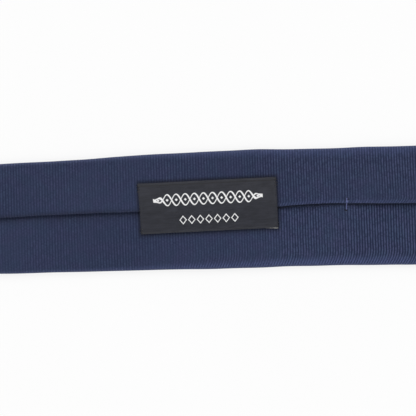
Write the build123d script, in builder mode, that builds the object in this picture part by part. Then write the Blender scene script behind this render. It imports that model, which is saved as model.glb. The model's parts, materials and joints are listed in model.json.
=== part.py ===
"""A slim three-piece necktie, laid flat on its front with the back seam upwards, as separate pieces.

Frame, in millimetres: +X runs along the tie towards the point of the blade, +Y across it and +Z up.
The origin is on the surface that the tie lies on, halfway along it.

The silk is cut as blade, neck and tail, joined by two bias seams, and wrapped round an interlining.
Three fold lines across the tie part it into quarters, and silk, interlining and thread stop at each.
"""

from build123d import *

import math
import os

# Plan of the tie
half_length = 730.0  # from the middle to each point
fold_x = 365.0  # the outer fold lines; the middle one is at 0
fold_clearance = 0.2  # each quarter stops this short of its fold lines
blade_width = 58.0
tail_width = 36.0
blade_shoulder_x = half_length - blade_width / 2
tail_shoulder_x = -half_length + tail_width / 2
widths = {  # full width at each station along X, straight between them
    tail_shoulder_x: tail_width,
    -fold_x: 31.0,
    -170.0: 29.0,
    0.0: 30.5,
    110.0: 35.0,
    fold_x: 49.5,
    500.0: 55.0,
    590.0: 55.8,
    blade_shoulder_x: blade_width,
}

# Bias seams between blade, neck and tail
blade_seam_x = 110.0  # where each crosses the centre line
tail_seam_x = -170.0
seam_gap = 0.1
seam_thread_width = 0.3
seam_thread_height = 0.12
seam_thread_bottom = 0.44

# Layers, from the surface upwards
silk = 0.4
edge_radius = 1.25  # the soft roll along each long edge
roll_top = 2 * edge_radius
interlining_bottom = 0.62
interlining_thickness = 0.75
tipping_bottom = 1.42
tipping_thickness = 0.15
layer_inset = 1.6  # inner layers keep this far inside the edges

# Back flaps: the upper one, on the +Y side, overlaps the lower one
upper_flap_edge = 0.5  # y of the folded edge that shows
upper_flap_top = 3.0
lower_flap_edge = 8.0  # y of the edge hidden under it
lower_flap_top = 2.1
thread_radius = 0.12  # slip stitch, between the flaps
thread_y = 3.5
thread_z = 2.34

# Pointed ends
blade_open_x = 615.0  # the flaps part from here towards the point
tail_open_x = -655.0
flap_rim = 7.0  # what is left of each flap at the shoulders
point_wall = 1.2
point_rim = 5.0
blade_tipping_x = 600.0  # where the tipping starts, out of sight under the flaps
tail_tipping_x = -642.0

# Bar tacks, at each end of the back seam
blade_tack_x = 565.0
tail_tack_x = -625.0
tack_width = 0.8
tack_thread = 0.3
tack_near_y = -1.2
tack_far_y = 4.0
stitch_clearance = 0.04

# Keeper label on the blade, and its four corner tacks
label_x = 500.0
label_y = 1.9
label_angle = 0.85
label_length = 65.0
label_height = 24.5
label_bottom = 3.05
label_cloth = 0.2
label_turn = 7.0  # how far each end is folded under
label_slit = 0.1  # between the cloth and its turned end
label_top = label_bottom + 2 * label_cloth + label_slit
label_hem = 2.0  # the strip along each long side that stays down
label_gap = 0.3
corner_inset = 2.0
corner_reach = 1.2
corner_thread = 0.15

# Care label on the tail
care_x = -590.0
care_y = 4.0
care_length = 26.0
care_height = 13.0
care_thickness = 0.15
care_stitch_count = 8
care_stitch_pitch = care_height / care_stitch_count
care_stitch_length = 1.2
care_stitch_span = care_length - 3.0  # between the rows at the two ends

os.makedirs("parts", exist_ok=True)


def width_at(x):
    """Full width of the tie at x."""
    stations = sorted(widths)
    for low, high in zip(stations, stations[1:]):
        if low <= x <= high:
            return widths[low] + (widths[high] - widths[low]) * (x - low) / (high - low)
    raise ValueError(f"x = {x} is beyond the shoulders")


def flap_top_at(x, y):
    """Height of the back's top face at (x, y), away from the pointed ends."""
    roll_y = width_at(x) / 2 - edge_radius
    if y >= upper_flap_edge:
        return roll_top + (upper_flap_top - roll_top) * (roll_y - y) / (roll_y - upper_flap_edge)
    return roll_top + (lower_flap_top - roll_top) * (y + roll_y) / (lower_flap_edge + roll_y)


def wrap_section(x, opening=0.0):
    """The silk in cross-section at x: front, rolled edges and two back flaps.

    opening is 0 where the flaps overlap, and 1 where only a rim of each is left.
    """
    roll_y = width_at(x) / 2 - edge_radius
    rim_y = width_at(x) / 2 - flap_rim
    upper_y = upper_flap_edge + opening * (rim_y - upper_flap_edge)
    lower_y = lower_flap_edge + opening * (-rim_y - lower_flap_edge)
    upper_top = upper_flap_top + opening * (roll_top - upper_flap_top)
    lower_top = lower_flap_top + opening * (roll_top - lower_flap_top)
    inner_top = roll_top - silk
    inner_radius = edge_radius - silk
    with BuildSketch(Plane.YZ.offset(x)) as section:
        with BuildLine():
            Line((upper_y, upper_top), (roll_y, roll_top))
            ThreePointArc((roll_y, roll_top), (roll_y + edge_radius, edge_radius), (roll_y, 0))
            Line((roll_y, 0), (-roll_y, 0))
            ThreePointArc((-roll_y, 0), (-roll_y - edge_radius, edge_radius), (-roll_y, roll_top))
            Line((-roll_y, roll_top), (lower_y, lower_top))
            Line((lower_y, lower_top), (lower_y, lower_top - silk))
            Line((lower_y, lower_top - silk), (-roll_y, inner_top))
            ThreePointArc((-roll_y, inner_top), (-roll_y - inner_radius, edge_radius), (-roll_y, silk))
            Line((-roll_y, silk), (roll_y, silk))
            ThreePointArc((roll_y, silk), (roll_y + inner_radius, edge_radius), (roll_y, inner_top))
            Line((roll_y, inner_top), (upper_y, upper_top - silk))
            Line((upper_y, upper_top - silk), (upper_y, upper_top))
        make_face()
    return section.sketch


def stations_between(low_x, high_x):
    """The two ends and every width station between them, in order."""
    return [low_x] + [x for x in sorted(widths) if low_x < x < high_x] + [high_x]


def wrap_silk(low_x, high_x):
    """Loft the closed wrap of silk from low_x to high_x."""
    loft([wrap_section(x) for x in stations_between(low_x, high_x)], ruled=True)


def open_wrap(open_x, shoulder_x):
    """Loft the stretch where the flaps part, from open_x to the shoulders."""
    loft([wrap_section(open_x), wrap_section(shoulder_x, opening=1.0)], ruled=True)


def point_prism(shoulder_x, tip_x, inset, bottom, top, mode=Mode.ADD):
    """Extrude the triangle between the shoulders and the tip, inset from its slanted sides."""
    outwards = math.copysign(1.0, tip_x - shoulder_x)
    half_width = abs(tip_x - shoulder_x) - inset * math.sqrt(2)
    with BuildSketch(Plane.XY.offset(bottom)) as triangle:
        with BuildLine():
            Polyline(
                (shoulder_x, -half_width),
                (shoulder_x + outwards * half_width, 0),
                (shoulder_x, half_width),
                close=True,
            )
        make_face()
    extrude(triangle.sketch, amount=top - bottom, mode=mode)


def silk_point(shoulder_x, tip_x):
    """Add the pointed end: front, turned edge and a rim on the back, hollow between them."""
    point_prism(shoulder_x, tip_x, 0, 0, roll_top)
    point_prism(shoulder_x, tip_x, point_wall, silk, roll_top - silk, mode=Mode.SUBTRACT)
    point_prism(shoulder_x, tip_x, point_rim, roll_top - silk, roll_top, mode=Mode.SUBTRACT)


def cut_on_bias(seam_x, keep_side):
    """Cut the part along the bias seam at seam_x and keep the side towards keep_side, +1 or -1."""
    bias = Plane(
        origin=(seam_x + keep_side * seam_gap / 2, 0, 0), x_dir=(0, 0, 1), z_dir=(keep_side, keep_side, 0)
    )
    split(bisect_by=bias, keep=Keep.TOP)


def inner_layer(low_x, high_x, bottom, thickness, tip_x=None):
    """Extrude a flat layer inside the wrap, with a pointed end where it reaches tip_x."""
    upper = [(x, width_at(x) / 2 - layer_inset) for x in stations_between(low_x, high_x)]
    lower = [(x, -y) for x, y in upper]
    tip = []
    if tip_x is not None:
        tip = [(tip_x - math.copysign(layer_inset * math.sqrt(2), tip_x), 0)]
    outline = upper + tip + lower[::-1] if tip_x is None or tip_x > 0 else upper + lower[::-1] + tip
    with BuildSketch(Plane.XY.offset(bottom)) as layer:
        with BuildLine():
            Polyline(*outline, close=True)
        make_face()
    extrude(layer.sketch, amount=thickness)


def slip_stitch(low_x, high_x):
    """Extrude the run of thread between the two flaps."""
    with BuildSketch(Plane.YZ.offset(low_x)) as thread:
        with Locations((thread_y, thread_z)):
            Circle(thread_radius)
    extrude(thread.sketch, amount=high_x - low_x)


def staple_stitch(x, near, far, bar_bottom, thread, width):
    """Extrude a bar of thread across the tie, with a leg at each end; near and far are (y, foot z)."""
    (near_y, near_foot), (far_y, far_foot) = near, far
    inwards = math.copysign(thread, far_y - near_y)
    with BuildSketch(Plane.YZ.offset(x - width / 2)) as staple:
        with BuildLine():
            Polyline(
                (near_y, near_foot),
                (near_y, bar_bottom + thread),
                (far_y, bar_bottom + thread),
                (far_y, far_foot),
                (far_y - inwards, far_foot),
                (far_y - inwards, bar_bottom),
                (near_y + inwards, bar_bottom),
                (near_y + inwards, near_foot),
                close=True,
            )
        make_face()
    extrude(staple.sketch, amount=width)


def bar_tack(x):
    """Add the bar of thread over the folded edge at x, down to the flap on each side of it."""
    near_foot = flap_top_at(x, tack_near_y) + 2 * stitch_clearance
    far_foot = flap_top_at(x, tack_far_y - tack_thread) + stitch_clearance
    bar_bottom = upper_flap_top + stitch_clearance
    staple_stitch(x, (tack_near_y, near_foot), (tack_far_y, far_foot), bar_bottom, tack_thread, tack_width)


def seam_thread(seam_x):
    """Extrude the thread of a bias seam, inside the tie along the front."""
    run = (width_at(seam_x) - 4 * edge_radius) * math.sqrt(2)
    with BuildSketch(Plane.XY.offset(seam_thread_bottom)) as thread:
        with Locations((seam_x, 0)):
            Rectangle(run, seam_thread_width, rotation=-45)
    extrude(thread.sketch, amount=seam_thread_height)


# Blade quarter

low_end = fold_x + fold_clearance

with BuildPart() as blade_silk_lower:
    wrap_silk(low_end, blade_open_x)
    open_wrap(blade_open_x, blade_shoulder_x)
    silk_point(blade_shoulder_x, half_length)
blade_silk_lower.part.label = "blade_silk_lower"
export_step(blade_silk_lower.part, "parts/blade_silk_lower.step")

with BuildPart() as interlining_blade:
    inner_layer(
        low_end, blade_shoulder_x - layer_inset / 2, interlining_bottom, interlining_thickness, half_length
    )
interlining_blade.part.label = "interlining_blade"
export_step(interlining_blade.part, "parts/interlining_blade.step")

with BuildPart() as blade_tipping:
    inner_layer(
        blade_tipping_x, blade_shoulder_x - layer_inset / 2, tipping_bottom, tipping_thickness, half_length
    )
blade_tipping.part.label = "blade_tipping"
export_step(blade_tipping.part, "parts/blade_tipping.step")

with BuildPart() as slip_stitch_blade:
    slip_stitch(low_end, blade_tack_x)
slip_stitch_blade.part.label = "slip_stitch_blade"
export_step(slip_stitch_blade.part, "parts/slip_stitch_blade.step")

with BuildPart() as blade_bar_tack:
    bar_tack(blade_tack_x)
blade_bar_tack.part.label = "blade_bar_tack"
export_step(blade_bar_tack.part, "parts/blade_bar_tack.step")

# Label: the middle lifts, the hem along each long side stays down

label_along = Vector(math.cos(math.radians(label_angle)), math.sin(math.radians(label_angle)), 0)
label_across = Vector(-label_along.Y, label_along.X, 0)
label_centre = Vector(label_x, label_y, 0)


def label_profile(offset_y):
    """The label's cloth seen from its side, with both ends folded under."""
    half = label_length / 2
    side = Plane(origin=label_centre + label_across * offset_y, x_dir=label_along, z_dir=-label_across)
    inner_top = label_top - label_cloth
    inner_bottom = label_bottom + label_cloth
    with BuildSketch(side) as profile:
        with BuildLine():
            Polyline(
                (-half, label_bottom),
                (-half, label_top),
                (half, label_top),
                (half, label_bottom),
                (half - label_turn, label_bottom),
                (half - label_turn, inner_bottom),
                (half - label_cloth, inner_bottom),
                (half - label_cloth, inner_top),
                (-half + label_cloth, inner_top),
                (-half + label_cloth, inner_bottom),
                (-half + label_turn, inner_bottom),
                (-half + label_turn, label_bottom),
                close=True,
            )
        make_face()
    return profile.sketch


with BuildPart() as keeper_label:
    extrude(label_profile(0), amount=label_height / 2 - label_hem - label_gap, both=True)
keeper_label.part.label = "keeper_label"
export_step(keeper_label.part, "parts/keeper_label.step")

with BuildPart() as label_hems:
    for side in (-1, 1):
        extrude(label_profile(side * (label_height - label_hem) / 2), amount=label_hem / 2, both=True)
label_hems.part.label = "label_hems"
export_step(label_hems.part, "parts/label_hems.step")

with BuildPart() as label_corner_tacks:
    for end in (-1, 1):
        for side in (-1, 1):
            corner = (
                label_centre
                + label_along * (end * (label_length / 2 - corner_inset))
                + label_across * (side * label_height / 2)
            )
            inner_y = corner.Y - side * corner_reach
            outer_y = corner.Y + side * corner_reach
            staple_stitch(
                corner.X,
                (inner_y, label_top + stitch_clearance),
                (outer_y, flap_top_at(corner.X, outer_y - side * corner_thread) + 2 * stitch_clearance),
                label_top + 2 * stitch_clearance,
                corner_thread,
                tack_width,
            )
label_corner_tacks.part.label = "label_corner_tacks"
export_step(label_corner_tacks.part, "parts/label_corner_tacks.step")

# Upper blade quarter, with the bias seam between blade and neck

with BuildPart() as blade_silk_upper:
    wrap_silk(fold_clearance, fold_x - fold_clearance)
    cut_on_bias(blade_seam_x, 1)
blade_silk_upper.part.label = "blade_silk_upper"
export_step(blade_silk_upper.part, "parts/blade_silk_upper.step")

with BuildPart() as neck_silk_blade_side:
    wrap_silk(fold_clearance, fold_x - fold_clearance)
    cut_on_bias(blade_seam_x, -1)
neck_silk_blade_side.part.label = "neck_silk_blade_side"
export_step(neck_silk_blade_side.part, "parts/neck_silk_blade_side.step")

with BuildPart() as blade_neck_seam:
    seam_thread(blade_seam_x)
blade_neck_seam.part.label = "blade_neck_seam"
export_step(blade_neck_seam.part, "parts/blade_neck_seam.step")

with BuildPart() as interlining_upper_blade:
    inner_layer(fold_clearance, fold_x - fold_clearance, interlining_bottom, interlining_thickness)
interlining_upper_blade.part.label = "interlining_upper_blade"
export_step(interlining_upper_blade.part, "parts/interlining_upper_blade.step")

with BuildPart() as slip_stitch_upper_blade:
    slip_stitch(fold_clearance, fold_x - fold_clearance)
slip_stitch_upper_blade.part.label = "slip_stitch_upper_blade"
export_step(slip_stitch_upper_blade.part, "parts/slip_stitch_upper_blade.step")

# Neck quarter, with the bias seam between neck and tail

with BuildPart() as neck_silk_tail_side:
    wrap_silk(-fold_x + fold_clearance, -fold_clearance)
    cut_on_bias(tail_seam_x, 1)
neck_silk_tail_side.part.label = "neck_silk_tail_side"
export_step(neck_silk_tail_side.part, "parts/neck_silk_tail_side.step")

with BuildPart() as tail_silk_upper:
    wrap_silk(-fold_x + fold_clearance, -fold_clearance)
    cut_on_bias(tail_seam_x, -1)
tail_silk_upper.part.label = "tail_silk_upper"
export_step(tail_silk_upper.part, "parts/tail_silk_upper.step")

with BuildPart() as neck_tail_seam:
    seam_thread(tail_seam_x)
neck_tail_seam.part.label = "neck_tail_seam"
export_step(neck_tail_seam.part, "parts/neck_tail_seam.step")

with BuildPart() as interlining_neck:
    inner_layer(-fold_x + fold_clearance, -fold_clearance, interlining_bottom, interlining_thickness)
interlining_neck.part.label = "interlining_neck"
export_step(interlining_neck.part, "parts/interlining_neck.step")

with BuildPart() as slip_stitch_neck:
    slip_stitch(-fold_x + fold_clearance, -fold_clearance)
slip_stitch_neck.part.label = "slip_stitch_neck"
export_step(slip_stitch_neck.part, "parts/slip_stitch_neck.step")

# Tail quarter

with BuildPart() as tail_silk_lower:
    wrap_silk(tail_open_x, -low_end)
    open_wrap(tail_open_x, tail_shoulder_x)
    silk_point(tail_shoulder_x, -half_length)
tail_silk_lower.part.label = "tail_silk_lower"
export_step(tail_silk_lower.part, "parts/tail_silk_lower.step")

with BuildPart() as interlining_tail:
    inner_layer(
        tail_shoulder_x + layer_inset / 2, -low_end, interlining_bottom, interlining_thickness, -half_length
    )
interlining_tail.part.label = "interlining_tail"
export_step(interlining_tail.part, "parts/interlining_tail.step")

with BuildPart() as tail_tipping:
    inner_layer(
        tail_shoulder_x + layer_inset / 2, tail_tipping_x, tipping_bottom, tipping_thickness, -half_length
    )
tail_tipping.part.label = "tail_tipping"
export_step(tail_tipping.part, "parts/tail_tipping.step")

with BuildPart() as slip_stitch_tail:
    slip_stitch(tail_tack_x, -low_end)
slip_stitch_tail.part.label = "slip_stitch_tail"
export_step(slip_stitch_tail.part, "parts/slip_stitch_tail.step")

with BuildPart() as tail_bar_tack:
    bar_tack(tail_tack_x)
tail_bar_tack.part.label = "tail_bar_tack"
export_step(tail_bar_tack.part, "parts/tail_bar_tack.step")

# Care label, sewn down along its two short ends

care_bottom = upper_flap_top + stitch_clearance
care_top = care_bottom + care_thickness

with BuildPart() as care_label:
    with BuildSketch(Plane.XY.offset(care_bottom)):
        with Locations((care_x, care_y)):
            Rectangle(care_length, care_height)
    extrude(amount=care_thickness)
care_label.part.label = "care_label"
export_step(care_label.part, "parts/care_label.step")

with BuildPart() as care_label_stitches:
    with BuildSketch(Plane.XY.offset(care_top)):
        with Locations((care_x, care_y)):
            with GridLocations(care_stitch_span, care_stitch_pitch, 2, care_stitch_count):
                Rectangle(corner_thread, care_stitch_length)
    extrude(amount=corner_thread)
care_label_stitches.part.label = "care_label_stitches"
export_step(care_label_stitches.part, "parts/care_label_stitches.step")
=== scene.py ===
"""A slim navy necktie lying on its front, seen from above: the back seam, keeper label and bar tack.

Lengths in this script are millimetres until a mesh is made. x runs along the tie, y across it, z up.
"""

import json
import math

import bpy
import numpy as np
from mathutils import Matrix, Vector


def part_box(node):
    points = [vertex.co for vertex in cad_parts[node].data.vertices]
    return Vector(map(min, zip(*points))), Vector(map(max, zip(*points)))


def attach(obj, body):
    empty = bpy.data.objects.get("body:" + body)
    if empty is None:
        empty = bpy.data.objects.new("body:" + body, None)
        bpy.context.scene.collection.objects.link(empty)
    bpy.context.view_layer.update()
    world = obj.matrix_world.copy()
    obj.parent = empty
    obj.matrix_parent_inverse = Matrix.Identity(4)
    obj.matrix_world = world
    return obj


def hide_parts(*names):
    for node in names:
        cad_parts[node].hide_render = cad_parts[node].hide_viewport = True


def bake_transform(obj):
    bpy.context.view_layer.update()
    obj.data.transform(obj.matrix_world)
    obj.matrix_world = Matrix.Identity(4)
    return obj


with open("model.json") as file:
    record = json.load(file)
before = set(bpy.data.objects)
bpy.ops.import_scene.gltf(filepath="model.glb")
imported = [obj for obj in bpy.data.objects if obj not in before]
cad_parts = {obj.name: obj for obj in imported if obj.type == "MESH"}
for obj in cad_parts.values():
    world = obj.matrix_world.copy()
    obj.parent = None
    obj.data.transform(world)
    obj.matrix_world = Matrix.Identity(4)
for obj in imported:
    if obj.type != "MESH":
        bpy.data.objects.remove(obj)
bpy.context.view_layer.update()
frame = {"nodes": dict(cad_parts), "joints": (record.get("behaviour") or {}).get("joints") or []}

MM = 0.001
TURN = 2 * math.pi

# ---- places read from the frame

JOINTS = {joint["name"]: joint for joint in frame["joints"]}


def cad_box(node):
    """A CAD node's lowest and highest corners in millimetres."""
    low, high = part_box(node)
    return np.array(low) / MM, np.array(high) / MM


def cad_middle(node):
    """The middle of a CAD node's box."""
    return sum(cad_box(node)) / 2


def fold_x(joint):
    """x of the line that a fold turns about."""
    return JOINTS[joint]["pos_m"][0] / MM


BLADE_FOLD_X, NECK_FOLD_X, TAIL_FOLD_X = (fold_x(joint) for joint in ("blade_fold", "neck_fold", "tail_fold"))
blade, tail = cad_box("blade_silk_lower"), cad_box("tail_silk_lower")
BLADE_TIP_X, TAIL_TIP_X = blade[1][0], tail[0][0]
BLADE_WIDTH, TAIL_WIDTH = (high[1] - low[1] for low, high in (blade, tail))
BLADE_SEAM_X, TAIL_SEAM_X = (cad_middle(node)[0] for node in ("blade_neck_seam", "neck_tail_seam"))
BLADE_TACK = cad_middle("blade_bar_tack")
TAIL_TACK = cad_middle("tail_bar_tack")
TACKS = BLADE_TACK, TAIL_TACK
BLADE_TIPPING_X = cad_box("blade_tipping")[0][0]
TAIL_TIPPING_X = cad_box("tail_tipping")[1][0]
LABEL = cad_middle("label_hems")
CARE_LABEL = cad_middle("care_label")

# ---- shape of the tie

BLADE_SHOULDER_X = BLADE_TIP_X - BLADE_WIDTH / 2
TAIL_SHOULDER_X = TAIL_TIP_X + TAIL_WIDTH / 2
EDGES = np.array([  # x, and y of the upper and lower long edges, before the points are cut
    (TAIL_TIP_X, TAIL_WIDTH / 2, -TAIL_WIDTH / 2), (TAIL_SHOULDER_X, TAIL_WIDTH / 2, -TAIL_WIDTH / 2),
    (-520, 16.4, -17.2), (TAIL_FOLD_X, 15.8, -15.2), (-170, 14.1, -14.9), (NECK_FOLD_X, 15.2, -15.3),
    (110, 17.7, -17.3), (230, 21.4, -20.6), (BLADE_FOLD_X, 23.9, -25.5), (404, 25.05, -27.0),
    (436, 25.55, -27.15), (444, 25.7, -27.3), (452, 26.3, -27.4), (476, 27.1, -27.55),
    (500, 27.4, -28.05), (522, 27.75, -28.15), (534, 27.4, -28.05), (552, 26.95, -28.2),
    (572, 27.15, -28.65), (598, 26.75, -29.35), (650, 28.0, -29.0),
    (BLADE_SHOULDER_X, BLADE_WIDTH / 2, -BLADE_WIDTH / 2), (BLADE_TIP_X, BLADE_WIDTH / 2, -BLADE_WIDTH / 2),
]).T
SEAM_LINE = np.array([  # x, and y of the upper flap's folded edge, before the flaps open
    (TAIL_TIP_X, 0.5), (TAIL_FOLD_X, 0.9), (-170, 0.1), (NECK_FOLD_X, 0.6), (230, 0.9),
    (BLADE_FOLD_X, -0.5), (404, -0.3), (420, 0.1), (436, 0.35), (500, 0.3), (530, 0.4), (541, 0.95),
    (556, 1.25), (564, 1.0), (573, 0.6), (598, -0.25), (650, 0.4), (BLADE_TIP_X, 0.5),
]).T
STATION_BLUR = np.linspace(-5, 5, 7)  # both tables are averaged over these steps along x
CLOTH = 0.36  # thickness of the silk
EDGE_RADIUS = 1.25  # the soft roll along each long edge
LOWER_FLAP_Y = 8.0  # the hidden edge of the lower flap
LOWER_FLAP_Z = 1.74
TURN_UNDER = 8.0  # how far the upper flap's edge is folded in
RIM_TOP = 3.35  # height of the upper flap's folded edge, before it lifts
RIM_RADIUS = 0.42
RIM_LIFT = 0.1  # how far the folded edge stands up towards the narrow end
GAPE_FROM, GAPE_OVER, GAPE_HEIGHT = 522.0, 24.0, 0.5  # and how much more past the label
HOLD_DEPTH, HOLD_SPREAD = 0.6, 5.0  # the bar tacks hold it down
BLADE_OPEN_X = 615.0  # the flaps part from here to the shoulder
TAIL_OPEN_X = -655.0
POINT_RIM = 7.0  # what is left of each flap at the shoulders
POINT_ROUNDING = 1.6  # where a cut edge meets a long one
TIP_CLOSE = 2.6  # below this half width a point's section only shrinks
BACK_Z = 1.5  # what lies above this height counts as the back

LABEL_LENGTH = 64.4
LABEL_HEIGHT = 23.8
LABEL_CLOTH = 0.2
LABEL_TURN = 7.0  # how far each end is folded under
LABEL_TILT = math.radians(0.85)


def waves(x, y, length, seed, count=7):
    """Seeded ripples of about unit height, from plane waves of roughly the given length."""
    rng = np.random.default_rng(seed)
    total = np.zeros_like(x, dtype=float)
    for _ in range(count):
        angle = rng.uniform(0, TURN)
        wave = TURN / (length * rng.uniform(0.6, 1.5))
        total += np.sin(wave * (x * math.cos(angle) + y * math.sin(angle)) + rng.uniform(0, TURN))
    return total / math.sqrt(count)


def smooth(t):
    """Smoothstep of t, clamped to 0..1."""
    t = np.clip(t, 0, 1)
    return t * t * (3 - 2 * t)


def bell(x, centre, spread):
    """A Gaussian hump of height 1."""
    return np.exp(-0.5 * ((x - centre) / spread) ** 2)


def end_dips(t, reach):
    """1 at both ends of a stitch, falling away over reach: where it goes into the cloth."""
    return np.exp(-t / reach) + np.exp(-(1 - t) / reach)


def denser(count, centre, spread):
    """Positions from 0 to 1, closer together round a centre."""
    t = np.linspace(0, 1, 501)
    run = np.cumsum(1 + 3 * bell(t, centre, spread))
    return np.interp(np.linspace(0, 1, count), (run - run[0]) / (run[-1] - run[0]), t)[None, :]


def soft_min(a, b, k):
    """The smaller of a and b, rounded off over a distance k."""
    h = np.clip(0.5 + 0.5 * (b - a) / k, 0, 1)
    return b + (a - b) * h - k * h * (1 - h)


def at_stations(x, stations_x, values):
    """A table's value at x, rounded where the stations meet."""
    return sum(np.interp(x + step, stations_x, values) for step in STATION_BLUR) / len(STATION_BLUR)


def long_edges(x):
    """y of the upper and lower long edges at x."""
    return at_stations(x, EDGES[0], EDGES[1]), at_stations(x, EDGES[0], EDGES[2])


def half_width(x):
    """Half the tie's width at x, which falls to nothing at the two points."""
    upper, lower = long_edges(x)
    base = (upper - lower) / 2 + 0.05 * waves(x, 0 * x, 30, 3)
    base = soft_min(base, BLADE_TIP_X - x, POINT_ROUNDING)
    return soft_min(base, x - TAIL_TIP_X, POINT_ROUNDING)


def centre_line(x):
    """Sideways drift of the tie's centre line, as soft cloth lies."""
    return sum(long_edges(x)) / 2


def opening(x):
    """0 where the back flaps overlap, 1 at the shoulders, where a rim of each is left."""
    blade = (x - BLADE_OPEN_X) / (BLADE_SHOULDER_X - BLADE_OPEN_X)
    tail = (TAIL_OPEN_X - x) / (TAIL_OPEN_X - TAIL_SHOULDER_X)
    return np.clip(np.maximum(blade, tail), 0, 1)


def seam_y(x):
    """The upper flap's folded edge, measured from the centre line."""
    return at_stations(x, *SEAM_LINE) + 0.06 * waves(x, 0 * x, 20, 11) - centre_line(x)


def rim_lift(x):
    """How far the folded edge stands up: least at the bar tacks, which hold it down."""
    loose = RIM_LIFT + GAPE_HEIGHT * smooth((x - GAPE_FROM) / GAPE_OVER) + 0.08 * waves(x, 0 * x, 35, 12)
    return loose - HOLD_DEPTH * np.clip(sum(bell(x, tack[0], HOLD_SPREAD) for tack in TACKS), 0, 1)


TACK_HOLES = (  # where a bar tack goes into the cloth, from its middle: x, y, half length, half width, depth
    (0.1, 1.9, 1.1, 0.7, 0.9),
    (-0.4, -3.1, 0.8, 0.6, 0.5),
)
PUCKER_HEIGHT, PUCKER_PITCH, PUCKER_LEAN = 0.14, 6.0, 0.25  # of the cloth that a tack gathers
PUCKER_LONG, PUCKER_WIDE = 8.0, 7.0
FAR = 50.0  # further than any mark on the cloth reaches


def from_holes(x, y):
    """For each bar tack hole, the distance from it in hole sizes and its depth; y is from the centre line."""
    for tack in TACKS:
        for hole_x, hole_y, long, wide, deep in TACK_HOLES:
            yield np.hypot((x - tack[0] - hole_x) / long, (y - tack[1] - hole_y) / wide), deep


def pinch(x, y):
    """Depth of the dimples and puckers round the bar tacks."""
    depth = sum(deep * np.exp(-away ** 2) for away, deep in from_holes(x, y))
    for tack in TACKS:
        dx, dy = x - tack[0], y - tack[1]
        gathers = PUCKER_HEIGHT * np.cos(TURN * dx / PUCKER_PITCH + PUCKER_LEAN * dy)
        depth = depth - gathers * np.exp(-((dx / PUCKER_LONG) ** 2) - (dy / PUCKER_WIDE) ** 2)
    return depth


COLUMNS = {"lower_flap": 38, "roll": 5, "front": 20, "upper_flap": 38, "rim": 5, "turn": 6}
LOW_ROLL = COLUMNS["lower_flap"] + COLUMNS["roll"] // 2  # the outermost column of each long edge
HIGH_ROLL = LOW_ROLL + COLUMNS["front"] + COLUMNS["roll"]
UPPER_FLAP = HIGH_ROLL + COLUMNS["roll"] // 2 + 1
RIM = UPPER_FLAP + COLUMNS["upper_flap"] + COLUMNS["rim"] // 2  # and of the flap's folded edge


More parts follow.
